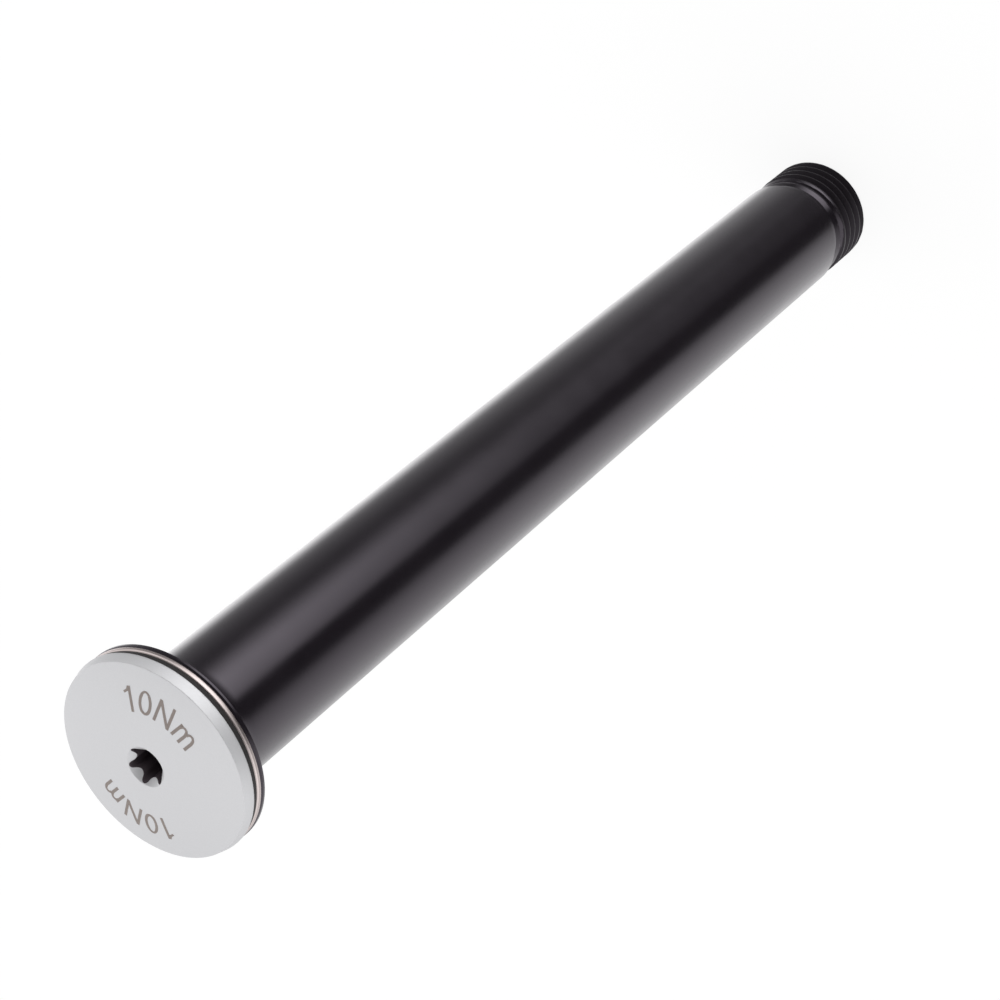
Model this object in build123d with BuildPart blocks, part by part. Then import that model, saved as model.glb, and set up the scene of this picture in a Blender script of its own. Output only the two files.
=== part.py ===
"""Bolt-up thru axle for a bicycle fork.

A hollow black shank with a fine thread at one end and a flared flange at the other.
A domed silver head is plugged into the flanged end, over a polished ring and a rubber ring.
Frame: millimetres, +Z along the axle towards the head, origin at the centre of the threaded end's face.
"""
import os
from math import cos, radians, sin

from build123d import *

# Threaded end
THREAD_D = 14.8              # major diameter of the fine thread, drawn as a plain cylinder
THREAD_LENGTH = 6.3          # full thread, from the end face
END_CHAMFER = 0.3            # lead chamfer on the end face
BACK_TAPER_LENGTH = 1.8      # gentle slope behind the thread, so that it can't catch when drawn out
RELIEF_DEPTH = 0.5           # relief groove below the thread's major diameter
RELIEF_LENGTH = 1.0          # flat floor of the relief groove

# Shank
SHAFT_D = 15.0               # plain shank that the hub slides on
SHANK_LENGTH = 135.6         # from its end bevel to the flange's rear face
SHANK_BEVEL = 0.5            # length of the bevel from the shank down into the relief groove
BORE_D = 10.0                # hollow of the tube, open at the threaded end
BORE_CHAMFER = 0.3           # broken edge at the bore's mouth

# Flange at the head end of the shank
FLANGE_T = 0.6               # thickness at the rim
FLANGE_INSET = 0.05          # how far the rim stays inside the head's rim
FLARE_LENGTH = 3.8           # flare from the shank into the flange's rear face
FLANGE_FLAT = 0.65           # flat of the rear face, from the flare to the rim
FLANGE_FRONT_CHAMFER = 0.28
FLANGE_REAR_CHAMFER = 0.08
BOSS_D = 16.0                # boss in front of the flange, which centres the two rings

# Rings between the flange and the head
POLISHED_T = 0.6
POLISHED_INSET = 0.1         # how far the ring's rim stays inside the head's rim
POLISHED_CHAMFER = 0.12
SEAL_T = 0.65
SEAL_INSET = 0.45
RING_GAP = 0.1               # radial play of the rings on the boss

# Head
HEAD_D = 23.2
HEAD_EDGE_T = 0.55           # straight part of the rim
EDGE_INSET = 0.3             # the face's edge stays inside the rim by this, over a conical edge
EDGE_DROP = 0.7              # height of the conical edge
DOME_RISE = 1.15             # crown of the face above its own edge
PLUG_D = 11.0                # plug of the head, bonded into the tube
PLUG_LENGTH = 14.0
PLUG_GAP = 0.02              # bond line around the plug
PLUG_END_GAP = 0.2           # the head seats on the boss, not on the plug's end
PLUG_CHAMFER = 0.5

# Six-lobe drive socket, size 25
LOBES = 6
POINT_D = 4.5                # across the points
WAIST_D = 3.2                # across the waists
POINT_R = 0.4                # rounding of each point
SOCKET_DEPTH = 3.4           # depth of the lobes below the crown
PILOT_EXTRA = 0.7            # drilled pilot below the lobes
ENTRY_D = 4.7                # mouth of the countersunk entry
ENTRY_ANGLE = 90.0

# Heights that the pieces share
taper_top = THREAD_LENGTH + BACK_TAPER_LENGTH
relief_top = taper_top + RELIEF_LENGTH
shank_start = relief_top + SHANK_BEVEL
flange_rear = shank_start + SHANK_LENGTH
flange_front = flange_rear + FLANGE_T
seal_bottom = flange_front + POLISHED_T
head_seat = seal_bottom + SEAL_T
rim_top = head_seat + HEAD_EDGE_T
face_edge = rim_top + EDGE_DROP
crown = face_edge + DOME_RISE
plug_end = head_seat - PLUG_LENGTH
pocket_floor = plug_end - PLUG_END_GAP

# Radii that the pieces share
shaft_r = SHAFT_D / 2
thread_r = THREAD_D / 2
relief_r = thread_r - RELIEF_DEPTH
bore_r = BORE_D / 2
boss_r = BOSS_D / 2
ring_r = boss_r + RING_GAP
head_r = HEAD_D / 2
face_r = head_r - EDGE_INSET
flange_r = head_r - FLANGE_INSET
flare_r = flange_r - FLANGE_FLAT
plug_r = PLUG_D / 2
pocket_r = plug_r + PLUG_GAP


def polar(radius, angle):
    """Point in the sketch plane at a radius and an angle in degrees."""
    return (radius * cos(radians(angle)), radius * sin(radians(angle)))


def waist_radius():
    """Radius of the arcs between the points, tangent to the points' own arcs."""
    centre = POINT_D / 2 - POINT_R
    waist = WAIST_D / 2
    across = centre * cos(radians(180 / LOBES))
    top = centre**2 + waist**2 - 2 * waist * across - POINT_R**2
    return top / (2 * (POINT_R - waist + across))


# Hollow shank with the threaded end and the flange, turned from one bar
with BuildPart() as axle_tube:
    with BuildSketch(Plane.XZ):
        with BuildLine():
            shank = Polyline(
                (bore_r, 0),
                (thread_r, 0),
                (thread_r, THREAD_LENGTH),
                (relief_r, taper_top),
                (relief_r, relief_top),
                (shaft_r, shank_start),
                (shaft_r, flange_rear - FLARE_LENGTH),
            )
            flare = Spline(shank @ 1, (flare_r, flange_rear), tangents=((0, 1), (1, 0)))
            Polyline(
                flare @ 1,
                (flange_r, flange_rear),
                (flange_r, flange_front),
                (boss_r, flange_front),
                (boss_r, head_seat),
                (pocket_r, head_seat),
                (pocket_r, pocket_floor),
                (bore_r, pocket_floor),
                shank @ 0,
            )
        make_face()
    revolve(axis=Axis.Z)
    end_edges = axle_tube.faces().sort_by(Axis.Z)[0].edges().sort_by(SortBy.RADIUS)
    chamfer(end_edges[0], length=BORE_CHAMFER)
    chamfer(end_edges[-1], length=END_CHAMFER)
    circles = axle_tube.edges().filter_by(GeomType.CIRCLE)
    rims = circles.group_by(SortBy.RADIUS)[-1].sort_by(Axis.Z)
    chamfer(rims[0], length=FLANGE_REAR_CHAMFER)
    chamfer(rims[-1], length=FLANGE_FRONT_CHAMFER)
axle_tube.part.label = "axle_tube"

# Domed head with its plug in the tube's bore
with BuildPart() as head_cap:
    with BuildSketch(Plane.XZ):
        with BuildLine():
            dome = SagittaArc((-face_r, face_edge), (face_r, face_edge), DOME_RISE)
            split(dome, bisect_by=Plane.YZ)
            Polyline(
                dome @ 1,
                (head_r, rim_top),
                (head_r, head_seat),
                (plug_r, head_seat),
                (plug_r, plug_end),
                (0, plug_end),
                (0, crown),
            )
        make_face()
    revolve(axis=Axis.Z)
    plug_rim = head_cap.edges().filter_by(GeomType.CIRCLE).sort_by(Axis.Z)[0]
    chamfer(plug_rim, length=PLUG_CHAMFER)

    # Lobed recess, pilot hole and countersunk entry
    with BuildSketch(Plane.XY.offset(crown)):
        with BuildLine():
            step = 360 / LOBES
            waist_r = waist_radius()
            point_centre = POINT_D / 2 - POINT_R
            arc_share = POINT_R / (POINT_R + waist_r)
            for lobe in range(LOBES):
                turn = lobe * step
                centre = Vector(*polar(point_centre, turn))
                ahead = Vector(*polar(WAIST_D / 2 + waist_r, turn + step / 2))
                behind = Vector(*polar(WAIST_D / 2 + waist_r, turn - step / 2))
                next_centre = Vector(*polar(point_centre, turn + step))
                start = centre + (behind - centre) * arc_share
                finish = centre + (ahead - centre) * arc_share
                onward = next_centre + (ahead - next_centre) * arc_share
                ThreePointArc(start, polar(POINT_D / 2, turn), finish)
                ThreePointArc(finish, polar(WAIST_D / 2, turn + step / 2), onward)
        make_face()
    extrude(amount=-SOCKET_DEPTH, mode=Mode.SUBTRACT)
    with Locations((0, 0, crown)):
        CounterSinkHole(
            radius=WAIST_D / 2,
            counter_sink_radius=ENTRY_D / 2,
            depth=SOCKET_DEPTH + PILOT_EXTRA,
            counter_sink_angle=ENTRY_ANGLE,
        )
head_cap.part.label = "head_cap"

# Rubber ring under the head
with BuildPart() as head_seal:
    with BuildSketch(Plane.XY.offset(seal_bottom)):
        Circle(head_r - SEAL_INSET)
        Circle(ring_r, mode=Mode.SUBTRACT)
    extrude(amount=SEAL_T)
head_seal.part.label = "head_seal"

# Polished steel ring on the flange
with BuildPart() as polished_ring:
    with BuildSketch(Plane.XY.offset(flange_front)):
        Circle(head_r - POLISHED_INSET)
        Circle(ring_r, mode=Mode.SUBTRACT)
    extrude(amount=POLISHED_T)
    rims = polished_ring.edges().filter_by(GeomType.CIRCLE).group_by(SortBy.RADIUS)[-1]
    chamfer(rims, length=POLISHED_CHAMFER)
polished_ring.part.label = "polished_ring"

os.makedirs("parts", exist_ok=True)
for piece in (axle_tube, head_cap, head_seal, polished_ring):
    export_step(piece.part, f"parts/{piece.part.label}.step")
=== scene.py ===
"""Bicycle thru axle: smooth turned pieces, a cut thread, marked torque figures and a white studio.

Every size is in millimetres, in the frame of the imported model: +Z runs from the threaded end to the head.
"""
import logging
import math
from dataclasses import dataclass
from enum import Enum
from typing import Any

import bmesh
import bpy
import numpy as np
from mathutils import Matrix, Vector


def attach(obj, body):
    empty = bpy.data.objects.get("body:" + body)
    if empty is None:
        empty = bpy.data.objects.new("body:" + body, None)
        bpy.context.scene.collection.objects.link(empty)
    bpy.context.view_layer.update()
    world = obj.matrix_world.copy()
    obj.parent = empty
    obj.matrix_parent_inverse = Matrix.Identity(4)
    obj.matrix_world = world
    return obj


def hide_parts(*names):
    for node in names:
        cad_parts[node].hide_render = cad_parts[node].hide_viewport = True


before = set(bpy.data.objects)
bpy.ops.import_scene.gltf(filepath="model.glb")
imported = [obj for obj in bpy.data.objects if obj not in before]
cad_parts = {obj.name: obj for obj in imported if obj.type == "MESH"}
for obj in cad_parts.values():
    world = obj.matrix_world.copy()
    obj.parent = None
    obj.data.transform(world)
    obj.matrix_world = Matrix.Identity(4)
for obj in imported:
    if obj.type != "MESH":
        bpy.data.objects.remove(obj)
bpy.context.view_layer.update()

LOG = logging.getLogger("thru_axle")
MM = 0.001
BODY = "root"
WHITE = (1.0, 1.0, 1.0, 1.0)
SEGMENTS = 240               # columns around each turned piece, a multiple of the socket's six lobes
ANGLES = np.arange(SEGMENTS) * (2 * math.pi / SEGMENTS)
SHARP_ANGLE = math.radians(24)  # edges that turn by more than this stay crisp
SAME_POINT = 1e-7            # metres within which the points of a turned profile become one
SEAM_GAP = 2e-6              # metres within which the thread's edges join the rest of the tube

# Heights that two or more pieces share
FLANGE_FRONT = 145.8
HEAD_SEAT = 147.05

Row = tuple[float | np.ndarray, float | np.ndarray]  # radius and height of a ring, or one value per column
Point = tuple[float, float]


class Slot(Enum):
    """Material slots of the record."""

    TUBE = "black_anodised_aluminium"
    HEAD = "blasted_aluminium"
    SEAL = "black_rubber"
    RING = "polished_steel"


class Glyph(Enum):
    """Strokes of the torque figure, each a line of points in cap heights from the middle of the foot."""

    ONE = "1"
    ZERO = "0"
    NEWTON = "N"
    METRE = "m"

    def strokes(self) -> list[list[Point]]:
        """Draw the glyph.

        Returns:
            The centre lines of its strokes, a closed one ending where it starts.
        """
        if self is Glyph.ONE:
            return [[(0.07, 0.0), (0.07, 1.0)], [(-0.19, 0.73), (-0.02, 0.83), (0.05, 0.98)]]
        if self is Glyph.ZERO:
            half_width = 0.23
            half_height = 0.44
            sides = 32
            turns = np.linspace(0, 2 * math.pi, sides + 1)
            return [[(half_width * math.sin(t), 0.5 + half_height * math.cos(t)) for t in turns]]
        if self is Glyph.NEWTON:
            side = 0.3
            return [[(-side, 0.0), (-side, 1.0)], [(side, 0.0), (side, 1.0)], [(-side, 0.97), (side, 0.03)]]
        bay = 0.36
        shoulder = 0.42
        rise = 0.25
        turns = np.linspace(0.5, math.pi, 12)
        arch = [(bay / 2 * (1 - math.cos(t)), shoulder + rise * math.sin(t)) for t in turns]
        legs = [[(-bay, 0.0), (-bay, 0.72)]]
        for foot in (-bay, 0.0):
            legs.append([(foot + x, y) for x, y in arch] + [(foot + bay, 0.0)])
        return legs


def linear(code: str) -> tuple[float, float, float, float]:
    """Turn an sRGB hex colour into linear RGBA.

    Args:
        code: colour as #rrggbb.

    Returns:
        Four linear channels, opaque.
    """
    channels = []
    for start in (1, 3, 5):
        value = int(code[start:start + 2], 16) / 255
        channels.append(value / 12.92 if value <= 0.04045 else ((value + 0.055) / 1.055) ** 2.4)
    return (channels[0], channels[1], channels[2], 1.0)


def add_node(tree: bpy.types.NodeTree, kind: str, inputs: dict[str | int, Any] | None = None,
             **settings: Any) -> bpy.types.Node:
    """Add a node with its settings, constants and incoming links.

    Args:
        tree: node tree that takes the node.
        kind: Blender's name for the node type.
        inputs: by input name or number, a constant or the output socket to link.
        settings: properties of the node itself.

    Returns:
        The new node.
    """
    node = tree.nodes.new(kind)
    for key, value in settings.items():
        setattr(node, key, value)
    for key, value in (inputs or {}).items():
        if isinstance(value, bpy.types.NodeSocket):
            tree.links.new(value, node.inputs[key])
        else:
            node.inputs[key].default_value = value
    return node


def new_surface(name: str, inputs: dict[str, Any]) -> tuple[bpy.types.Material, bpy.types.Node]:
    """Start a material that holds only a Principled shader.

    Args:
        name: name of the material.
        inputs: the shader's constants by input name.

    Returns:
        The material and its shader node.
    """
    material = bpy.data.materials.new(name)
    material.use_nodes = True
    tree = material.node_tree
    tree.nodes.clear()
    shader = add_node(tree, "ShaderNodeBsdfPrincipled", inputs)
    add_node(tree, "ShaderNodeOutputMaterial", {"Surface": shader.outputs["BSDF"]})
    return material, shader


@dataclass(frozen=True)
class BlackAnodised:
    """Aluminium turned smooth, then dyed black and sealed in the anodising bath.

    The oxide works as a dark glaze: no metal colour, clear reflections with a slightly soft edge.
    """

    name: str = "black_anodised_turned_aluminium"
    colour: str = "#1a161b"
    gloss_tint: str = "#fbf0ff"  # the dye leaves a breath of violet in the reflections
    oxide_ior: float = 1.7
    roughness: float = 0.17
    roughness_spread: float = 0.05
    blotch_mm: float = 5.0       # the gloss changes in patches of about this size
    blotch_span: Point = (0.3, 0.7)  # most of the noise lies between these values
    turning_mm: float = 0.45     # the real tool marks are finer and wouldn't show
    turning_depth_mm: float = 0.0006

    def material(self) -> bpy.types.Material:
        """Build the material.

        Returns:
            A dark dielectric with uneven gloss and shallow marks around the axis.
        """
        material, shader = new_surface(self.name, {
            "Base Color": linear(self.colour),
            "IOR": self.oxide_ior,
            "Specular Tint": linear(self.gloss_tint),
        })
        tree = material.node_tree
        place = add_node(tree, "ShaderNodeTexCoord").outputs["Object"]
        blotch = add_node(tree, "ShaderNodeTexNoise", {
            "Vector": place, "Scale": 1 / (self.blotch_mm * MM), "Detail": 4.0,
        })
        rough = add_node(tree, "ShaderNodeMapRange", {
            "Value": blotch.outputs["Fac"],
            "From Min": self.blotch_span[0],
            "From Max": self.blotch_span[1],
            "To Min": self.roughness,
            "To Max": self.roughness + self.roughness_spread,
        })
        height = add_node(tree, "ShaderNodeSeparateXYZ", {"Vector": place}).outputs["Z"]
        marks = add_node(tree, "ShaderNodeTexNoise", {
            "W": height, "Scale": 1 / (self.turning_mm * MM), "Detail": 3.0,
        }, noise_dimensions="1D")
        bump = add_node(tree, "ShaderNodeBump", {
            "Height": marks.outputs["Fac"], "Strength": 1.0, "Distance": self.turning_depth_mm * MM,
        })
        tree.links.new(rough.outputs["Result"], shader.inputs["Roughness"])
        tree.links.new(bump.outputs["Normal"], shader.inputs["Normal"])
        return material


@dataclass(frozen=True)
class BlastedAluminium:
    """Aluminium blasted with fine beads and clear anodised.

    Countless tiny dents spread the light, so the face is an even satin grey with a faint grain.
    """

    name: str = "bead_blasted_clear_anodised_aluminium"
    colour: str = "#d9d9db"
    colour_low: str = "#d3d3d5"
    roughness: float = 0.58
    grain_mm: float = 0.16       # the real dents are a few hundredths and wouldn't show
    grain_depth_mm: float = 0.004

    def material(self) -> bpy.types.Material:
        """Build the material.

        Returns:
            A pale rough metal with a fine grain in tone and relief.
        """
        material, shader = new_surface(self.name, {"Metallic": 1.0, "Roughness": self.roughness})
        tree = material.node_tree
        place = add_node(tree, "ShaderNodeTexCoord").outputs["Object"]
        grain = add_node(tree, "ShaderNodeTexNoise", {
            "Vector": place, "Scale": 1 / (self.grain_mm * MM), "Detail": 2.0,
        }).outputs["Fac"]
        tone = add_node(tree, "ShaderNodeMix", {
            "Factor": grain, "A": linear(self.colour_low), "B": linear(self.colour),
        }, data_type="RGBA")
        bump = add_node(tree, "ShaderNodeBump", {
            "Height": grain, "Strength": 1.0, "Distance": self.grain_depth_mm * MM,
        })
        tree.links.new(tone.outputs["Result"], shader.inputs["Base Color"])
        tree.links.new(bump.outputs["Normal"], shader.inputs["Normal"])
        return material


@dataclass(frozen=True)
class PolishedSteel:
    """Stainless steel ring with a polished rim.

    A bright metal whose narrow rim mirrors the studio, a little warm and drawn out along the turning.
    """

    name: str = "polished_stainless_steel"
    colour: str = "#c8bdbb"
    roughness_low: float = 0.256
    roughness_high: float = 0.416
    brushing_mm: float = 0.08    # the real polishing lines are finer and wouldn't show

    def material(self) -> bpy.types.Material:
        """Build the material.

        Returns:
            A metal whose gloss changes in fine lines around the axis.
        """
        material, shader = new_surface(self.name, {"Base Color": linear(self.colour), "Metallic": 1.0})
        tree = material.node_tree
        place = add_node(tree, "ShaderNodeTexCoord").outputs["Object"]
        height = add_node(tree, "ShaderNodeSeparateXYZ", {"Vector": place}).outputs["Z"]
        lines = add_node(tree, "ShaderNodeTexNoise", {
            "W": height, "Scale": 1 / (self.brushing_mm * MM), "Detail": 2.0,
        }, noise_dimensions="1D")
        rough = add_node(tree, "ShaderNodeMapRange", {
            "Value": lines.outputs["Fac"], "To Min": self.roughness_low, "To Max": self.roughness_high,
        })
        tree.links.new(rough.outputs["Result"], shader.inputs["Roughness"])
        return material


@dataclass(frozen=True)
class MouldedRubber:
    """Nitrile rubber, pressed in a plain steel mould.

    A soft black that swallows most light, with a dull skin.
    """

    name: str = "moulded_nitrile_rubber"
    colour: str = "#1f1b1c"
    roughness_low: float = 0.52
    roughness_high: float = 0.72
    skin_mm: float = 0.3         # the mould's grain is finer and wouldn't show

    def material(self) -> bpy.types.Material:
        """Build the material.

        Returns:
            A black dielectric with an uneven, dull skin.
        """
        material, shader = new_surface(self.name, {"Base Color": linear(self.colour)})
        tree = material.node_tree
        place = add_node(tree, "ShaderNodeTexCoord").outputs["Object"]
        skin = add_node(tree, "ShaderNodeTexNoise", {"Vector": place, "Scale": 1 / (self.skin_mm * MM)})
        rough = add_node(tree, "ShaderNodeMapRange", {
            "Value": skin.outputs["Fac"], "To Min": self.roughness_low, "To Max": self.roughness_high,
        })
        tree.links.new(rough.outputs["Result"], shader.inputs["Roughness"])
        return material


@dataclass(frozen=True)
class LaserMark:
    """Aluminium darkened by a marking laser.

    The burnt oxide is a dull brownish grey, a little uneven along each pass of the beam.
    """

    name: str = "laser_marked_aluminium"
    colour: str = "#9d928c"
    colour_dark: str = "#8c817b"
    roughness: float = 0.6
    pass_mm: float = 0.22        # the real passes lie closer and wouldn't show

    def material(self) -> bpy.types.Material:
        """Build the material.

        Returns:
            A dull dielectric with an uneven tone.
        """
        material, shader = new_surface(self.name, {"Roughness": self.roughness})
        tree = material.node_tree
        place = add_node(tree, "ShaderNodeTexCoord").outputs["Object"]
        burn = add_node(tree, "ShaderNodeTexNoise", {"Vector": place, "Scale": 1 / (self.pass_mm * MM)})
        tone = add_node(tree, "ShaderNodeMix", {
            "Factor": burn.outputs["Fac"], "A": linear(self.colour_dark), "B": linear(self.colour),
        }, data_type="RGBA")
        tree.links.new(tone.outputs["Result"], shader.inputs["Base Color"])
        return material


def blend_rows(start: Point, corner: Point, end: Point, steps: int) -> list[Row]:
    """Rows along a smooth blend that leaves start towards corner and comes to end from it.

    Args:
        start: radius and height of the first point, which is left out.
        corner: where the two tangents meet.
        end: radius and height of the last row.
        steps: number of rows.

    Returns:
        The rows after start, end included.
    """
    rows = []
    for step in range(1, steps + 1):
        t = step / steps
        weights = ((1 - t) ** 2, 2 * t * (1 - t), t * t)
        radius, height = (sum(w * v for w, v in zip(weights, values)) for values in zip(start, corner, end))
        rows.append((radius, height))
    return rows


def turned_mesh(rows: list[Row], closed: bool = True) -> bmesh.types.BMesh:
    """Spin rows of rings around the axis.

    Args:
        rows: radius and height of each ring in millimetres, in order along the profile.
        closed: whether the last ring joins the first one.

    Returns:
        The surface in metres, with coinciding points merged.
    """
    mesh = bmesh.new()
    rings = []
    for radius, height in rows:
        radius = np.broadcast_to(radius, SEGMENTS) * MM
        height = np.broadcast_to(height, SEGMENTS) * MM
        points = np.column_stack((radius * np.cos(ANGLES), radius * np.sin(ANGLES), height))
        rings.append([mesh.verts.new(point) for point in points])
    pairs = list(zip(rings, rings[1:]))
    if closed:
        pairs.append((rings[-1], rings[0]))
    for lower, upper in pairs:
        for column in range(SEGMENTS):
            after = (column + 1) % SEGMENTS
            mesh.faces.new((lower[column], lower[after], upper[after], upper[column]))
    bmesh.ops.remove_doubles(mesh, verts=mesh.verts, dist=SAME_POINT)
    return mesh


def finish_piece(name: str, mesh: bmesh.types.BMesh, materials: list[bpy.types.Material],
                 node: str = "") -> bpy.types.Object:
    """Turn a surface into a shaded object that rides on the part.

    Args:
        name: name of the piece.
        mesh: closed surface, which is freed.
        materials: finishes by the material number of the faces.
        node: CAD node that the piece stands for, if any.

    Returns:
        The finished object.
    """
    bmesh.ops.recalc_face_normals(mesh, faces=mesh.faces)
    data = bpy.data.meshes.new(name)
    mesh.to_mesh(data)
    mesh.free()
    for material in materials:
        data.materials.append(material)
    data.polygons.foreach_set("use_smooth", [True] * len(data.polygons))
    data.set_sharp_from_angle(angle=SHARP_ANGLE)
    piece = bpy.data.objects.new(name, data)
    bpy.context.scene.collection.objects.link(piece)
    if node:
        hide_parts(node)
    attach(piece, BODY)
    return piece


def new_tree(name: str, sizes: list[str]) -> bpy.types.NodeTree:
    """Start a Geometry Nodes tree with its sockets.

    Args:
        name: name of the tree.
        sizes: names of its number inputs.

    Returns:
        The tree, which has no nodes yet.
    """
    tree = bpy.data.node_groups.new(name, "GeometryNodeTree")
    tree.interface.new_socket("Geometry", in_out="INPUT", socket_type="NodeSocketGeometry")
    for size in sizes:
        tree.interface.new_socket(size, in_out="INPUT", socket_type="NodeSocketFloat")
    tree.interface.new_socket("Geometry", in_out="OUTPUT", socket_type="NodeSocketGeometry")
    return tree


def baked_mesh(carrier: bpy.types.Object, tree: bpy.types.NodeTree, inputs: dict[str, float],
               finishes: list[bpy.types.Material]) -> bpy.types.Mesh:
    """Run a Geometry Nodes tree on a carrier and keep the result as a plain mesh.

    Args:
        carrier: object that takes the modifier and is removed afterwards.
        tree: node tree with named inputs.
        inputs: values by input name.
        finishes: materials that the tree sets, in the order that numbers the faces.

    Returns:
        The evaluated mesh.
    """
    modifier = carrier.modifiers.new(tree.name, "NODES")
    modifier.node_group = tree
    for item in tree.interface.items_tree:
        if item.in_out == "INPUT" and item.name in inputs:
            modifier[item.identifier] = inputs[item.name]
    bpy.context.scene.collection.objects.link(carrier)
    graph = bpy.context.evaluated_depsgraph_get()
    result = bpy.data.meshes.new_from_object(carrier.evaluated_get(graph))
    source = carrier.data
    bpy.data.objects.remove(carrier)
    bpy.data.meshes.remove(source)

    # A grid brings an empty slot along, so the faces are numbered by finish again
    numbers = [finishes.index(material) if material in finishes else 0 for material in result.materials]
    for face in result.polygons:
        face.material_index = numbers[face.material_index]
    return result


@dataclass(frozen=True)
class Thread:
    """Fine right-hand thread, cut into the end of the tube and run out on its back taper."""

    finish: BlackAnodised
    major_r: float = 7.4
    pitch: float = 1.5
    depth: float = 0.812         # five eighths of the sharp thread's height
    root_flat: float = 0.375     # a quarter of the pitch
    end_chamfer: float = 0.3
    taper_start: float = 6.3
    taper_top: float = 8.1
    relief_r: float = 6.9
    groove_height: float = 7.1   # middle of the groove that crosses the taper, seen from groove_angle
    groove_angle: float = -75.0
    lead: float = 0.3            # uncut length at each end
    fade_in: float = 0.7         # the groove deepens over this length at the end face
    fade_out: float = 1.35       # and runs out over this length on the taper
    dull_top: float = 6.45       # the duller, darker finish of the cut thread, its darkness painted shade, ends here
    steps: int = 32              # rows of points in a pitch; at a multiple of 16 every edge lies on a row

    @property
    def turns(self) -> int:
        """Pitches that the flat grid is high: two more than the wall, so that it covers it all round."""
        return math.ceil(self.taper_top / self.pitch) + 2

    @property
    def turns_below(self) -> int:
        """Pitches from the groove's middle at zero degrees down to the foot of the flat grid."""
        return math.ceil(self.groove_height / self.pitch - self.groove_angle / 360) + 1

    def inputs(self) -> dict[str, float]:
        """List the sizes that the node tree takes.

        Returns:
            The tree's inputs by name, in metres and radians.
        """
        return {
            "Major Radius": self.major_r * MM,
            "Relief Radius": self.relief_r * MM,
            "Pitch": self.pitch * MM,
            "Depth": self.depth * MM,
            "Half Root": self.root_flat * MM / 2,
            "Chamfer": self.end_chamfer * MM,
            "Length": self.taper_top * MM,
            "Taper Length": (self.taper_top - self.taper_start) * MM,
            "Groove Height": self.groove_height * MM,
            "Groove Angle": math.radians(self.groove_angle),
            "Lead": self.lead * MM,
            "Fade In": self.fade_in * MM,
            "Fade Out": self.fade_out * MM,
            "Dull Top": self.dull_top * MM,
        }

    def sums(self) -> dict[str, tuple[Any, ...]]:
        """List the sums that roll a point X, Y of the flat grid into the threaded wall.

        Returns:
            By the name of each result, the operation and its terms: numbers, inputs or earlier results.
        """
        return {
            # Rows climb with the groove; what lies beyond the wall's ends folds up on their edges
            "span": ("MULTIPLY", "Pitch", self.turns),
            "angle": ("ADD", "X", math.pi),
            "past_groove": ("SUBTRACT", "angle", "Groove Angle"),
            "turn": ("DIVIDE", "past_groove", 2 * math.pi),
            "above_foot": ("MULTIPLY_ADD", "span", 0.5, "Y"),
            "row": ("ADD", "above_foot", "Groove Height"),
            "turn_up": ("SUBTRACT", "turn", self.turns_below),
            "climb": ("MULTIPLY_ADD", "turn_up", "Pitch", "row"),
            "from_end": ("MAXIMUM", "climb", 0.0),
            "height": ("MINIMUM", "from_end", "Length"),
            # How far a point lies along the axis from the middle of the nearest turn of the groove
            "past_start": ("SUBTRACT", "height", "Groove Height"),
            "rise": ("DIVIDE", "past_start", "Pitch"),
            "lag": ("SUBTRACT", "rise", "turn"),
            "half_on": ("ADD", "lag", 0.5),
            "share": ("FRACT", "half_on"),
            "off_middle": ("SUBTRACT", "share", 0.5),
            "beside": ("MULTIPLY", "off_middle", "Pitch"),
            "middle": ("SUBTRACT", "height", "beside"),
            # The tool goes in over the first turns and is withdrawn on the taper
            "past_lead": ("SUBTRACT", "middle", "Lead"),
            "going_in": ("DIVIDE", "past_lead", "Fade In"),
            "to_top": ("SUBTRACT", "Length", "middle"),
            "to_lead": ("SUBTRACT", "to_top", "Lead"),
            "coming_out": ("DIVIDE", "to_lead", "Fade Out"),
            "tail": ("MINIMUM", "going_in", "coming_out"),
            "tail_above": ("MAXIMUM", "tail", 0.0),
            "tail_share": ("MINIMUM", "tail_above", 1.0),
            "plunge": ("MULTIPLY", "tail_share", "Depth"),
            # Flanks rise at 60 degrees from a flat root
            "either_side": ("ABSOLUTE", "beside"),
            "past_root": ("SUBTRACT", "either_side", "Half Root"),
            "flank": ("MAXIMUM", "past_root", 0.0),
            "flank_rise": ("MULTIPLY", "flank", math.sqrt(3)),
            "below_crest": ("SUBTRACT", "plunge", "flank_rise"),
            "cut": ("MAXIMUM", "below_crest", 0.0),
            "threaded": ("SUBTRACT", "Major Radius", "cut"),
            # Blank that was turned before the thread: lead chamfer, full width and back taper
            "end_radius": ("SUBTRACT", "Major Radius", "Chamfer"),
            "chamfered": ("ADD", "end_radius", "height"),
            "taper_drop": ("SUBTRACT", "Major Radius", "Relief Radius"),
            "slope": ("DIVIDE", "taper_drop", "Taper Length"),
            "from_top": ("SUBTRACT", "Length", "height"),
            "tapered": ("MULTIPLY_ADD", "from_top", "slope", "Relief Radius"),
            "blank": ("MINIMUM", "chamfered", "tapered"),
            # Place on the wall
            "radius": ("MINIMUM", "blank", "threaded"),
            "cosine": ("COSINE", "angle"),
            "sine": ("SINE", "angle"),
            "place_x": ("MULTIPLY", "radius", "cosine"),
            "place_y": ("MULTIPLY", "radius", "sine"),
            # Once the wall is rolled, Z is its height
            "at_thread": ("LESS_THAN", "Z", "Dull Top"),
        }

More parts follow.
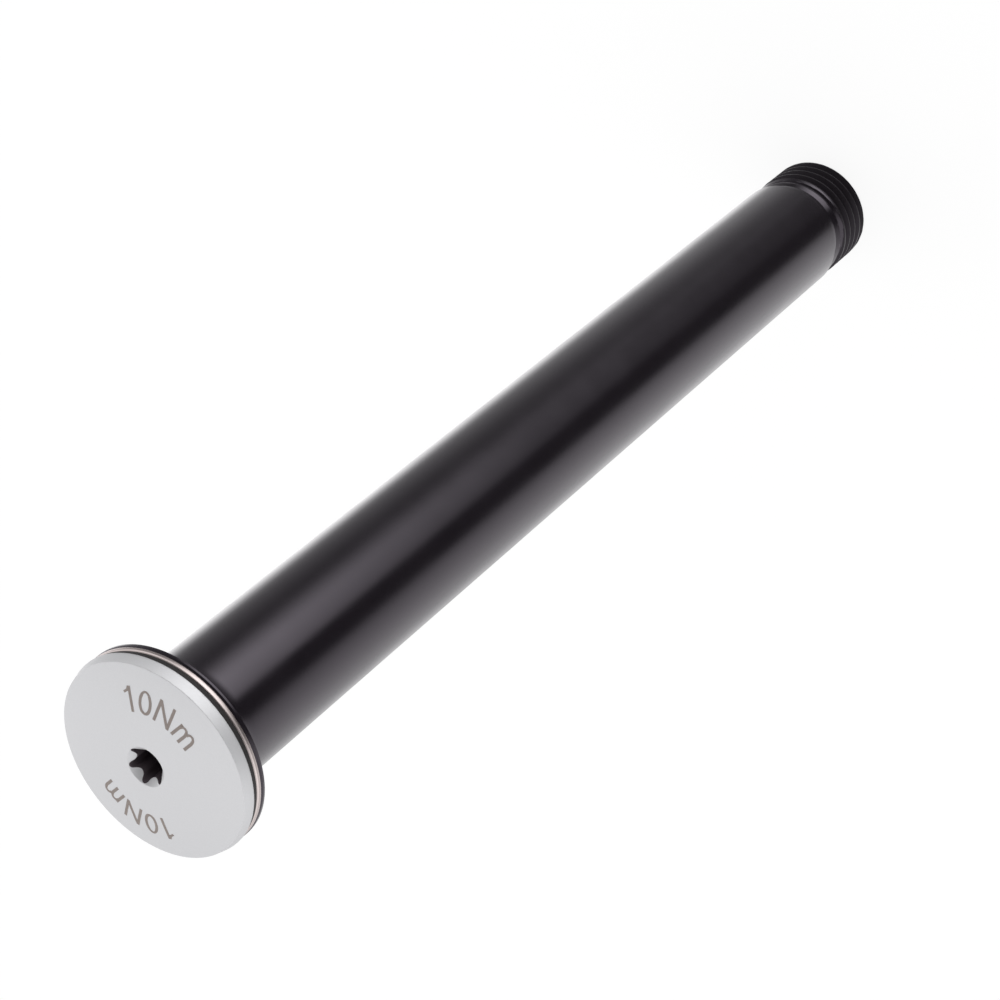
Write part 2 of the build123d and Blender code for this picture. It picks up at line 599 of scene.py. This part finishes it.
    def tree(self, turned: bpy.types.Material, thread_finish_with_shade: bpy.types.Material) -> bpy.types.NodeTree:
        """Build the node tree that rolls a flat grid into the threaded wall.

        Args:
            turned: finish of the back taper.
            thread_finish_with_shade: finish of the thread itself, rougher and darkened by painted shade of
                the grooves.

        Returns:
            A tree with the thread's sizes as named inputs, in metres and radians.
        """
        tree = new_tree("thread_cut", list(self.inputs()))
        known = dict(add_node(tree, "NodeGroupInput").outputs.items())
        point = add_node(tree, "GeometryNodeInputPosition").outputs["Position"]
        known.update(add_node(tree, "ShaderNodeSeparateXYZ", {"Vector": point}).outputs.items())
        for name, (operation, *terms) in self.sums().items():
            inputs = {number: known.get(term, term) for number, term in enumerate(terms)}
            known[name] = add_node(tree, "ShaderNodeMath", inputs, operation=operation).outputs["Value"]
        grid = add_node(tree, "GeometryNodeMeshGrid", {
            "Size X": 2 * math.pi,
            "Size Y": known["span"],
            "Vertices X": SEGMENTS + 1,
            "Vertices Y": self.turns * self.steps + 1,
        })
        rolled = add_node(tree, "ShaderNodeCombineXYZ", {
            "X": known["place_x"], "Y": known["place_y"], "Z": known["height"],
        })
        wall = add_node(tree, "GeometryNodeSetPosition", {
            "Geometry": grid.outputs["Mesh"], "Position": rolled.outputs["Vector"],
        })
        real = add_node(tree, "GeometryNodeRealizeInstances", {"Geometry": wall.outputs["Geometry"]})
        plain = add_node(tree, "GeometryNodeSetMaterial", {
            "Geometry": real.outputs["Geometry"], "Material": turned,
        })
        dressed = add_node(tree, "GeometryNodeSetMaterial", {
            "Geometry": plain.outputs["Geometry"], "Selection": known["at_thread"], "Material": thread_finish_with_shade,
        })
        add_node(tree, "NodeGroupOutput", {"Geometry": dressed.outputs["Geometry"]})
        return tree

    def wall(self, turned: bpy.types.Material, thread_finish_with_shade: bpy.types.Material) -> bpy.types.Mesh:
        """Make the threaded wall as an open tube.

        Args:
            turned: finish of the back taper, number 0 on the faces.
            thread_finish_with_shade: finish of the thread itself, rougher and darkened by painted shade of
                the grooves, number 1.

        Returns:
            A plain mesh from the end face to the top of the back taper.
        """
        carrier = bpy.data.objects.new("thread_carrier", bpy.data.meshes.new("thread_carrier"))
        return baked_mesh(carrier, self.tree(turned, thread_finish_with_shade), self.inputs(), [turned, thread_finish_with_shade])


@dataclass(frozen=True)
class AxleTube:
    """Hollow shank with the threaded end, the flared flange and the boss for the rings."""

    finish: BlackAnodised
    thread: Thread
    shaft_r: float = 7.5
    bore_r: float = 5.0
    bore_chamfer: float = 0.3
    relief_top: float = 9.1
    shank_start: float = 9.6
    edge: float = 0.06           # break of the edges at the shank's end and at the relief's floor
    flare_start: float = 141.0   # 0.4 below the solid's, for the soft shading at the root of the flange
    flare_rows: int = 28
    flange_rear: float = 145.2
    flange_front: float = FLANGE_FRONT
    flare_r: float = 10.9
    flange_r: float = 11.55
    front_chamfer: float = 0.28
    rear_chamfer: float = 0.08
    boss_r: float = 8.0
    head_seat: float = HEAD_SEAT
    pocket_r: float = 5.52
    pocket_floor: float = 132.85

    def rows(self) -> list[Row]:
        """Draw the tube's profile.

        Returns:
            Rings from the top of the thread's taper, over the flange and back down the bore.
        """
        thread = self.thread
        shank_end = (self.shaft_r, self.flare_start)
        flare_corner = (self.shaft_r, self.flange_rear)
        flare_end = (self.flare_r, self.flange_rear)
        return [
            (thread.relief_r, thread.taper_top),
            (thread.relief_r, thread.taper_top + self.edge),
            (thread.relief_r, self.relief_top),
            (self.shaft_r - self.edge, self.shank_start - self.edge),
            (self.shaft_r, self.shank_start + self.edge),
            shank_end,
            *blend_rows(shank_end, flare_corner, flare_end, self.flare_rows),
            (self.flange_r - self.rear_chamfer, self.flange_rear),
            (self.flange_r, self.flange_rear + self.rear_chamfer),
            (self.flange_r, self.flange_front - self.front_chamfer),
            (self.flange_r - self.front_chamfer, self.flange_front),
            (self.boss_r, self.flange_front),
            (self.boss_r, self.head_seat),
            (self.pocket_r, self.head_seat),
            (self.pocket_r, self.pocket_floor),
            (self.bore_r, self.pocket_floor),
            (self.bore_r, self.bore_chamfer),
            (self.bore_r + self.bore_chamfer, 0.0),
            (thread.major_r - thread.end_chamfer, 0.0),
        ]

    def build(self) -> bpy.types.Object:
        """Make the tube with its thread and put it in the CAD node's place.

        Returns:
            The finished piece.
        """
        finishes = [self.finish.material(), self.thread.finish.material()]
        mesh = turned_mesh(self.rows(), closed=False)
        wall = self.thread.wall(*finishes)
        mesh.from_mesh(wall)
        bpy.data.meshes.remove(wall)
        bmesh.ops.remove_doubles(mesh, verts=mesh.verts, dist=SEAM_GAP)
        return finish_piece("axle_tube_turned", mesh, finishes, "axle_tube")


@dataclass(frozen=True)
class HeadCap:
    """Domed head with a six-lobe socket, its countersunk entry and the plug below."""

    finish: BlastedAluminium
    # dark grey finish of the socket's walls: painted shade of the deep hole
    socket_shade_finish: BlackAnodised
    head_r: float = 11.6
    head_seat: float = HEAD_SEAT
    rim_foot: float = 147.2      # the cone of the edge runs down to here, above a narrow land
    face_edge: float = 148.3
    face_r: float = 11.3
    crease: float = 0.045        # the edge is broken this far on both sides of the face's edge
    crease_rows: int = 5
    rim_blend: float = 0.1       # the cone runs into the land over this height, above and below
    rim_rows: int = 6
    dome_rise: float = 1.15
    dome_rows: int = 40
    seat_edge: float = 0.03
    plug_r: float = 5.5
    plug_end: float = 133.05
    plug_chamfer: float = 0.5
    lobes: int = 6
    point_r: float = 2.25        # from the axis to a lobe's point
    waist_r: float = 1.6
    point_round: float = 0.4
    socket_depth: float = 3.4
    pilot_extra: float = 0.7
    pilot_r: float = 1.58
    entry_r: float = 2.35        # mouth of the 90 degree countersink at the crown's height
    mouth_edge: float = 0.03

    @property
    def crown(self) -> float:
        """Height of the middle of the face."""
        return self.face_edge + self.dome_rise

    @property
    def entry_tip(self) -> float:
        """Height where the countersink's cone would meet the axis."""
        return self.crown - self.entry_r

    def dome(self, radius: float) -> float:
        """Height of the domed face at a distance from the axis."""
        sphere = (self.face_r**2 + self.dome_rise**2) / (2 * self.dome_rise)
        return self.crown - sphere + math.sqrt(sphere**2 - radius**2)

    def lobe_radius(self) -> np.ndarray:
        """Work out the socket's outline: round points and hollow waists as tangent arcs.

        Returns:
            Distance from the axis to the socket's wall, one value for each column.
        """
        step = 2 * math.pi / self.lobes
        centre = self.point_r - self.point_round
        across = centre * math.cos(step / 2)
        top = centre**2 + self.waist_r**2 - 2 * self.waist_r * across - self.point_round**2
        bulge = top / (2 * (self.point_round - self.waist_r + across))
        reach = self.waist_r + bulge
        share = self.point_round / (self.point_round + bulge)
        tangent = math.atan2(share * reach * math.sin(step / 2),
                             centre + share * (reach * math.cos(step / 2) - centre))
        off = np.abs((ANGLES + step / 2) % step - step / 2)
        hollow = np.sqrt(np.maximum(self.point_round**2 - (centre * np.sin(off)) ** 2, 0))
        point = centre * np.cos(off) + hollow
        side = step / 2 - off
        waist = reach * np.cos(side) - np.sqrt(np.maximum(bulge**2 - (reach * np.sin(side)) ** 2, 0))
        return np.where(off < tangent, point, waist)

    def rows(self) -> list[Row]:
        """Draw the head's profile.

        Returns:
            Rings from the socket's floor, over the face and the rim, to the end of the plug.
        """
        lobe = self.lobe_radius()
        floor = self.crown - self.socket_depth
        pilot_floor = floor - self.pilot_extra
        mouth = self.dome(self.entry_r) - self.entry_tip
        entry_top = mouth - self.mouth_edge
        face = np.linspace(mouth + self.mouth_edge, self.face_r - self.crease, self.dome_rows)
        dome = [(float(radius), self.dome(float(radius))) for radius in face]
        return [
            (0.0, pilot_floor),
            (self.pilot_r, pilot_floor),
            (self.pilot_r, floor),
            (lobe, floor),
            (lobe, self.entry_tip + lobe),
            (entry_top, self.entry_tip + entry_top),
            *dome,
            *self.edge_rows(dome[-1]),
            (self.head_r, self.head_seat + self.seat_edge),
            (self.head_r - self.seat_edge, self.head_seat),
            (self.plug_r, self.head_seat),
            (self.plug_r, self.plug_end + self.plug_chamfer),
            (self.plug_r - self.plug_chamfer, self.plug_end),
            (0.0, self.plug_end),
        ]

    def edge_rows(self, start: Point) -> list[Row]:
        """Rings from the face, over a narrow crease and a cone, into the land at the foot of the rim.

        Args:
            start: last ring on the dome.

        Returns:
            The rings after it, down to the land.
        """
        draft = (self.head_r - self.face_r) / (self.face_edge - self.rim_foot)
        cone_top = (self.face_r + self.crease * draft, self.face_edge - self.crease)
        cone_foot = (self.head_r - self.rim_blend * draft, self.rim_foot + self.rim_blend)
        land_top = (self.head_r, self.rim_foot - self.rim_blend)
        return [
            *blend_rows(start, (self.face_r, self.face_edge), cone_top, self.crease_rows),
            cone_foot,
            *blend_rows(cone_foot, (self.head_r, self.rim_foot), land_top, self.rim_rows),
        ]

    def build(self) -> bpy.types.Object:
        """Make the head, with painted shade in a darker finish on the socket below its entry, in the CAD
        node's place.

        Returns:
            The finished piece.
        """
        mesh = turned_mesh(self.rows(), closed=False)
        # Faces of the socket below the entry take the dark grey finish, painted shade of the hole
        for face in mesh.faces:
            centre = face.calc_center_median() / MM
            below_entry = self.entry_tip + centre.xy.length - centre.z
            if centre.xy.length < self.point_r and below_entry > self.mouth_edge:
                face.material_index = 1
        finishes = [self.finish.material(), self.socket_shade_finish.material()]
        return finish_piece("head_cap_turned", mesh, finishes, "head_cap")


@dataclass(frozen=True)
class TorqueFigure:
    """Tightening torque, marked twice around the domed face with tops outwards."""

    finish: LaserMark
    head: HeadCap
    cap_height: float = 2.75
    middle_r: float = 7.6        # from the axis to the middle of the letters
    stroke: float = 0.34
    join: float = 0.034          # a stroke whose ends lie closer than this is closed
    lift: float = 0.012          # how far the mark stands proud of the face
    sunk: float = 0.03
    step: float = 0.2            # longest straight run along a stroke

    def places(self) -> list[tuple[Glyph, float]]:
        """Give each glyph and the angle of its middle, in degrees."""
        word = ((Glyph.ONE, -35.7), (Glyph.ZERO, -50.8), (Glyph.NEWTON, -68.6), (Glyph.METRE, -90.7))
        return [(glyph, angle + half) for half in (0.0, 180.0) for glyph, angle in word]

    def carrier(self) -> bpy.types.Object:
        """Lay the strokes' centre lines on the dome.

        Returns:
            An object of loose edges, which isn't in the scene yet.
        """
        mesh = bmesh.new()
        for glyph, angle in self.places():
            out = Vector((math.cos(math.radians(angle)), math.sin(math.radians(angle))))
            along = Vector((out.y, -out.x))
            for stroke in glyph.strokes():
                points = []
                for x, y in stroke:
                    from_axis = self.middle_r + (y - 0.5) * self.cap_height
                    points.append(along * (x * self.cap_height) + out * from_axis)
                self.lay(mesh, points)
        data = bpy.data.meshes.new("torque_lines")
        mesh.to_mesh(data)
        mesh.free()
        return bpy.data.objects.new("torque_lines", data)

    def lay(self, mesh: bmesh.types.BMesh, points: list[Vector]) -> None:
        """Add one stroke as a chain of short edges on the dome.

        Args:
            mesh: takes the chain.
            points: corners of the centre line in millimetres.
        """
        closed = (points[0] - points[-1]).length < self.join
        chain = []
        for start, end in zip(points, points[1:]):
            parts = max(1, math.ceil((end - start).length / self.step))
            chain += [start.lerp(end, i / parts) for i in range(parts)]
        if not closed:
            chain.append(points[-1])
        middle = (self.lift - self.sunk) / 2
        verts = []
        for point in chain:
            height = self.head.dome(point.length) + middle
            verts.append(mesh.verts.new((point.x * MM, point.y * MM, height * MM)))
        for one, other in zip(verts, verts[1:]):
            mesh.edges.new((one, other))
        if closed:
            mesh.edges.new((verts[-1], verts[0]))

    def tree(self, material: bpy.types.Material) -> bpy.types.NodeTree:
        """Build the node tree that draws a flat stroke along each line.

        Args:
            material: finish of the strokes.

        Returns:
            A tree with the stroke's width and thickness as named inputs, in metres.
        """
        tree = new_tree("laser_strokes", ["Width", "Thickness"])
        source = add_node(tree, "NodeGroupInput").outputs
        lines = add_node(tree, "GeometryNodeMeshToCurve", {"Mesh": source["Geometry"]})
        upright = add_node(tree, "GeometryNodeSetCurveNormal", {
            "Curve": lines.outputs["Curve"],
        }, mode="Z_UP")
        section = add_node(tree, "GeometryNodeCurvePrimitiveQuadrilateral", {
            "Width": source["Width"], "Height": source["Thickness"],
        })
        strokes = add_node(tree, "GeometryNodeCurveToMesh", {
            "Curve": upright.outputs["Curve"], "Profile Curve": section.outputs["Curve"], "Fill Caps": True,
        })
        real = add_node(tree, "GeometryNodeRealizeInstances", {"Geometry": strokes.outputs["Mesh"]})
        dressed = add_node(tree, "GeometryNodeSetMaterial", {
            "Geometry": real.outputs["Geometry"], "Material": material,
        })
        add_node(tree, "NodeGroupOutput", {"Geometry": dressed.outputs["Geometry"]})
        return tree

    def build(self) -> bpy.types.Object:
        """Make the marks as thin strokes let into the face.

        Returns:
            The finished piece.
        """
        material = self.finish.material()
        sizes = {"Width": self.stroke * MM, "Thickness": (self.lift + self.sunk) * MM}
        baked = baked_mesh(self.carrier(), self.tree(material), sizes, [material])
        mesh = bmesh.new()
        mesh.from_mesh(baked)
        bpy.data.meshes.remove(baked)
        return finish_piece("torque_figure_marks", mesh, [material])


@dataclass(frozen=True)
class RingStack:
    """Polished ring on the flange and rubber ring under the head, both around the boss."""

    steel: PolishedSteel
    rubber: MouldedRubber
    hole_r: float = 8.1
    polished_r: float = 11.5
    polished_bottom: float = FLANGE_FRONT
    polished_rounds: Point = (0.06, 0.45)  # lower and upper edge of the rim
    polished_rows: tuple[int, int] = (4, 6)
    seal_bottom: float = 146.4
    head_seat: float = HEAD_SEAT
    seal_r: float = 11.43        # the clamped rubber is pressed out to here
    seal_rounds: Point = (0.05, 0.05)
    seal_rows: tuple[int, int] = (4, 4)

    def section(self, rim: float, low: float, high: float, rounds: Point,
                rows: tuple[int, int]) -> list[Row]:
        """Draw the section of one ring, its rim's edges rolled.

        Args:
            rim: outer radius.
            low: height of the lower face.
            high: height of the upper face.
            rounds: size of the lower and of the upper round.
            rows: rows in the lower and in the upper round.

        Returns:
            Rings from the foot of the hole, over the rim, to its top.
        """
        low_start = (rim - rounds[0], low)
        high_start = (rim, high - rounds[1])
        return [
            (self.hole_r, low),
            low_start,
            *blend_rows(low_start, (rim, low), (rim, low + rounds[0]), rows[0]),
            high_start,
            *blend_rows(high_start, (rim, high), (rim - rounds[1], high), rows[1]),
            (self.hole_r, high),
        ]

    def build(self) -> list[bpy.types.Object]:
        """Make both rings and put them in their CAD nodes' places.

        Returns:
            The polished ring and the rubber ring.
        """
        ring = turned_mesh(self.section(
            self.polished_r, self.polished_bottom, self.seal_bottom,
            self.polished_rounds, self.polished_rows,
        ))
        seal = turned_mesh(self.section(
            self.seal_r, self.seal_bottom, self.head_seat,
            self.seal_rounds, self.seal_rows,
        ))
        steel = self.steel.material()
        rubber = self.rubber.material()
        return [
            finish_piece("polished_ring_turned", ring, [steel], "polished_ring"),
            finish_piece("head_seal_moulded", seal, [rubber], "head_seal"),
        ]


@dataclass(frozen=True)
class Panel:
    """One soft light in the world, with its share of the strength along the horizon and up the wall.

    Bearings are degrees from the camera's side, positive to the right.
    Heights are degrees above the horizon.
    """

    strength: float
    across: tuple[Point, ...]
    upright: tuple[Point, ...]

    def add_to(self, tree: bpy.types.NodeTree, bearing: bpy.types.NodeSocket, height: bpy.types.NodeSocket,
               level: float | bpy.types.NodeSocket) -> bpy.types.NodeSocket:
        """Add this light to those before it.

        Args:
            tree: world tree.
            bearing: bearing of a ray, from 0 to 1 over the full turn.
            height: height of a ray, from 0 straight down to 1 straight up.
            level: strength of the lights so far.

        Returns:
            Strength of all of them together.
        """
        across = [((turn + 180) / 360, share) for turn, share in self.across]
        upright = [((1 + math.sin(math.radians(rise))) / 2, share) for rise, share in self.upright]
        shares = []
        for place, stops in ((bearing, across), (height, upright)):
            ramp = add_node(tree, "ShaderNodeValToRGB", {"Fac": place})
            elements = ramp.color_ramp.elements
            while len(elements) < len(stops):
                elements.new(0.5)
            for element, (position, share) in zip(elements, stops):
                element.position = position
                element.color = (share, share, share, 1.0)
            shares.append(ramp.outputs["Color"])
        shape = add_node(tree, "ShaderNodeMath", dict(enumerate(shares)), operation="MULTIPLY")
        terms = {0: shape.outputs["Value"], 1: self.strength, 2: level}
        return add_node(tree, "ShaderNodeMath", terms, operation="MULTIPLY_ADD").outputs["Value"]


@dataclass(frozen=True)
class Studio:
    """White sweep around the part, dim towards the viewer, with a soft box and a low fill at the front."""

    floor_colour: str = "#f7f7f7"
    floor_half: float = 3000.0
    floor_gap: float = 0.05
    floor_white: float = 0.84    # share of plain white in what the camera sees of the floor
    floor_glow: float = 1.06     # brings the floor to white where no shadow falls
    camera_place: tuple[float, float, float] = (1.62, -204.44, 297.34)
    camera_forward: tuple[float, float, float] = (-0.01364, 0.6962, -0.7175)
    camera_up: tuple[float, float, float] = (0.77375, -0.44728, -0.44855)
    camera_clip: float = 10.0
    focal_px: float = 2523.0
    frame_px: float = 1000.0

    def floor(self) -> None:
        """Lay the pale floor, which polished surfaces don't mirror: they see the sweep instead."""
        half = self.floor_half * MM
        low = -self.floor_gap * MM
        corners = [(-half, -half, low), (half, -half, low), (half, half, low), (-half, half, low)]
        data = bpy.data.meshes.new("floor")
        data.from_pydata(corners, [], [(0, 1, 2, 3)])
        # Matt painted board: no gloss, and nearly plain white to the camera so that only the shadow shows
        material, shader = new_surface("pale_studio_floor", {
            "Base Color": linear(self.floor_colour), "Roughness": 1.0, "Specular IOR Level": 0.0,
        })
        tree = material.node_tree
        glow = add_node(tree, "ShaderNodeEmission", {"Color": WHITE, "Strength": self.floor_glow})
        ray = add_node(tree, "ShaderNodeLightPath").outputs
        seen = add_node(tree, "ShaderNodeMath", {
            0: ray["Is Camera Ray"], 1: ray["Is Glossy Ray"],
        }, operation="MAXIMUM")
        share = add_node(tree, "ShaderNodeMath", {
            0: seen.outputs["Value"], 1: self.floor_white,
        }, operation="MULTIPLY")
        mixed = add_node(tree, "ShaderNodeMixShader", {
            "Fac": share.outputs["Value"], 1: shader.outputs["BSDF"], 2: glow.outputs["Emission"],
        })
        tree.links.new(mixed.outputs["Shader"], tree.nodes["Material Output"].inputs["Surface"])
        data.materials.append(material)
        floor = bpy.data.objects.new("floor", data)
        floor.visible_glossy = False
        bpy.context.scene.collection.objects.link(floor)

    def panels(self) -> list[Panel]:
        """List the lights.

        Returns:
            White sweep, soft box, front fill, and the glow of the table on the near and the far side.
        """
        sweep = Panel(1.15, (
            (-180, 0.95), (-166, 0.81), (-150, 0.92), (-134, 0.97), (-105, 1.0), (-82, 0.88), (-62, 0.68),
            (-51, 0.45), (-42, 0.1), (-36, 0.03), (55, 0.05), (72, 0.13), (90, 0.24), (111, 0.36),
            (122, 0.5), (133, 0.82), (145, 1.0), (170, 1.0), (180, 0.95),
        ), (
            (-90, 1.07), (-53, 1.07), (-42, 1.0), (-36, 0.97), (-29, 0.72), (-17, 0.7), (-8, 0.86),
            (5, 0.86), (30, 0.9), (50, 1.1), (70, 1.36), (90, 1.42),
        ))
        soft_box = Panel(2.4, (
            (-13, 0.0), (-3, 0.6), (6, 0.8), (22, 1.0), (32, 1.0), (40, 0.78), (50, 0.45), (61, 0.12),
            (72, 0.0),
        ), (
            (-60, 0.0), (-52, 0.045), (-47, 0.11), (-44, 0.31), (-41, 0.65), (-39, 0.86), (-36, 0.97),
            (-30, 0.88), (18, 0.82), (36, 0.1), (50, 0.0),
        ))
        fill = Panel(1.35, (
            (-125, 0.1), (-100, 0.3), (-75, 0.66), (-50, 0.66), (-29, 0.42), (-7, 0.42), (15, 0.35),
            (30, 0.25), (40, 0.2), (50, 0.25), (60, 0.45), (70, 0.8), (82, 0.95), (95, 0.85), (115, 0.5),
            (130, 0.55), (145, 0.6), (160, 0.35), (175, 0.1),
        ), (
            (-16, 0.0), (-8, 1.0), (10, 1.0), (28, 0.0),
        ))
        table_near = Panel(0.3, (
            (30, 0.0), (45, 0.55), (74, 0.75), (106, 1.0), (120, 0.7), (132, 0.0),
        ), (
            (-60, 1.0), (-55, 1.0), (-50, 0.5), (-46, 0.1), (-42, 0.0),
        ))
        table_far = Panel(0.6, (
            (124, 0.0), (134, 0.6), (144, 1.0), (162, 1.0), (180, 0.3),
        ), (
            (-60, 0.5), (-52, 0.6), (-42, 1.0), (-28, 1.0), (-12, 0.0),
        ))
        return [sweep, soft_box, fill, table_near, table_far]

    def world(self) -> None:
        """Light the part by the bearing and the height of each ray, before a white backdrop."""
        world = bpy.data.worlds.new("white_sweep")
        world.use_nodes = True
        bpy.context.scene.world = world
        tree = world.node_tree
        tree.nodes.clear()
        ray = add_node(tree, "ShaderNodeTexCoord").outputs["Generated"]
        axis = add_node(tree, "ShaderNodeSeparateXYZ", {"Vector": ray}).outputs
        away = add_node(tree, "ShaderNodeMath", {0: axis["Y"], 1: -1.0}, operation="MULTIPLY")
        turn = add_node(tree, "ShaderNodeMath", {
            0: axis["X"], 1: away.outputs["Value"],
        }, operation="ARCTAN2")
        bearing = add_node(tree, "ShaderNodeMapRange", {
            "Value": turn.outputs["Value"], "From Min": -math.pi, "From Max": math.pi,
        })
        height = add_node(tree, "ShaderNodeMapRange", {
            "Value": axis["Z"], "From Min": -1.0, "From Max": 1.0,
        })
        level = 0.0
        for panel in self.panels():
            level = panel.add_to(tree, bearing.outputs["Result"], height.outputs["Result"], level)
        light = add_node(tree, "ShaderNodeBackground", {"Color": WHITE, "Strength": level})
        backdrop = add_node(tree, "ShaderNodeBackground", {"Color": WHITE, "Strength": 1.0})
        both = add_node(tree, "ShaderNodeMixShader", {
            "Fac": add_node(tree, "ShaderNodeLightPath").outputs["Is Camera Ray"],
            1: light.outputs["Background"],
            2: backdrop.outputs["Background"],
        })
        add_node(tree, "ShaderNodeOutputWorld", {"Surface": both.outputs["Shader"]})

    def camera(self) -> None:
        """Set the camera where the photograph was taken from."""
        forward = Vector(self.camera_forward).normalized()
        right = forward.cross(Vector(self.camera_up)).normalized()
        up = right.cross(forward)
        turn = Matrix((right, up, -forward)).transposed().to_4x4()
        data = bpy.data.cameras.new("camera")
        data.lens = data.sensor_width * self.focal_px / self.frame_px
        data.clip_start = self.camera_clip * MM
        camera = bpy.data.objects.new("camera", data)
        camera.matrix_world = Matrix.Translation(Vector(self.camera_place) * MM) @ turn
        bpy.context.scene.collection.objects.link(camera)
        bpy.context.scene.camera = camera

    def build(self) -> None:
        """Set up the floor, the light and the camera."""
        self.floor()
        self.world()
        self.camera()
        bpy.context.scene.view_settings.view_transform = "Standard"


def main() -> None:
    """Build the studio and every piece in order, and report the pieces."""
    logging.basicConfig(level=logging.INFO, format="%(name)s %(message)s")
    Studio().build()
    # The tool leaves the thread rougher than the shank, so that it looks duller; its deeper black is
    # painted shade of the grooves
    cut_thread = BlackAnodised("thread_rough_with_painted_shade", "#130f13", oxide_ior=1.46, roughness=0.46)
    # Painted shade: the socket's walls are a dark grey that stands for the shade deep in the hole, and
    # hardly gloss
    socket_wall = BlackAnodised("socket_wall_painted_shade", "#5a5256", oxide_ior=1.5, roughness=0.5)
    head = HeadCap(BlastedAluminium(), socket_wall)
    pieces = [
        AxleTube(BlackAnodised(), Thread(cut_thread)).build(),
        head.build(),
        TorqueFigure(LaserMark(), head).build(),
        *RingStack(PolishedSteel(), MouldedRubber()).build(),
    ]
    for piece in pieces:
        LOG.info("%s: %d faces", piece.name, len(piece.data.polygons))


if __name__ == "__main__":
    main()
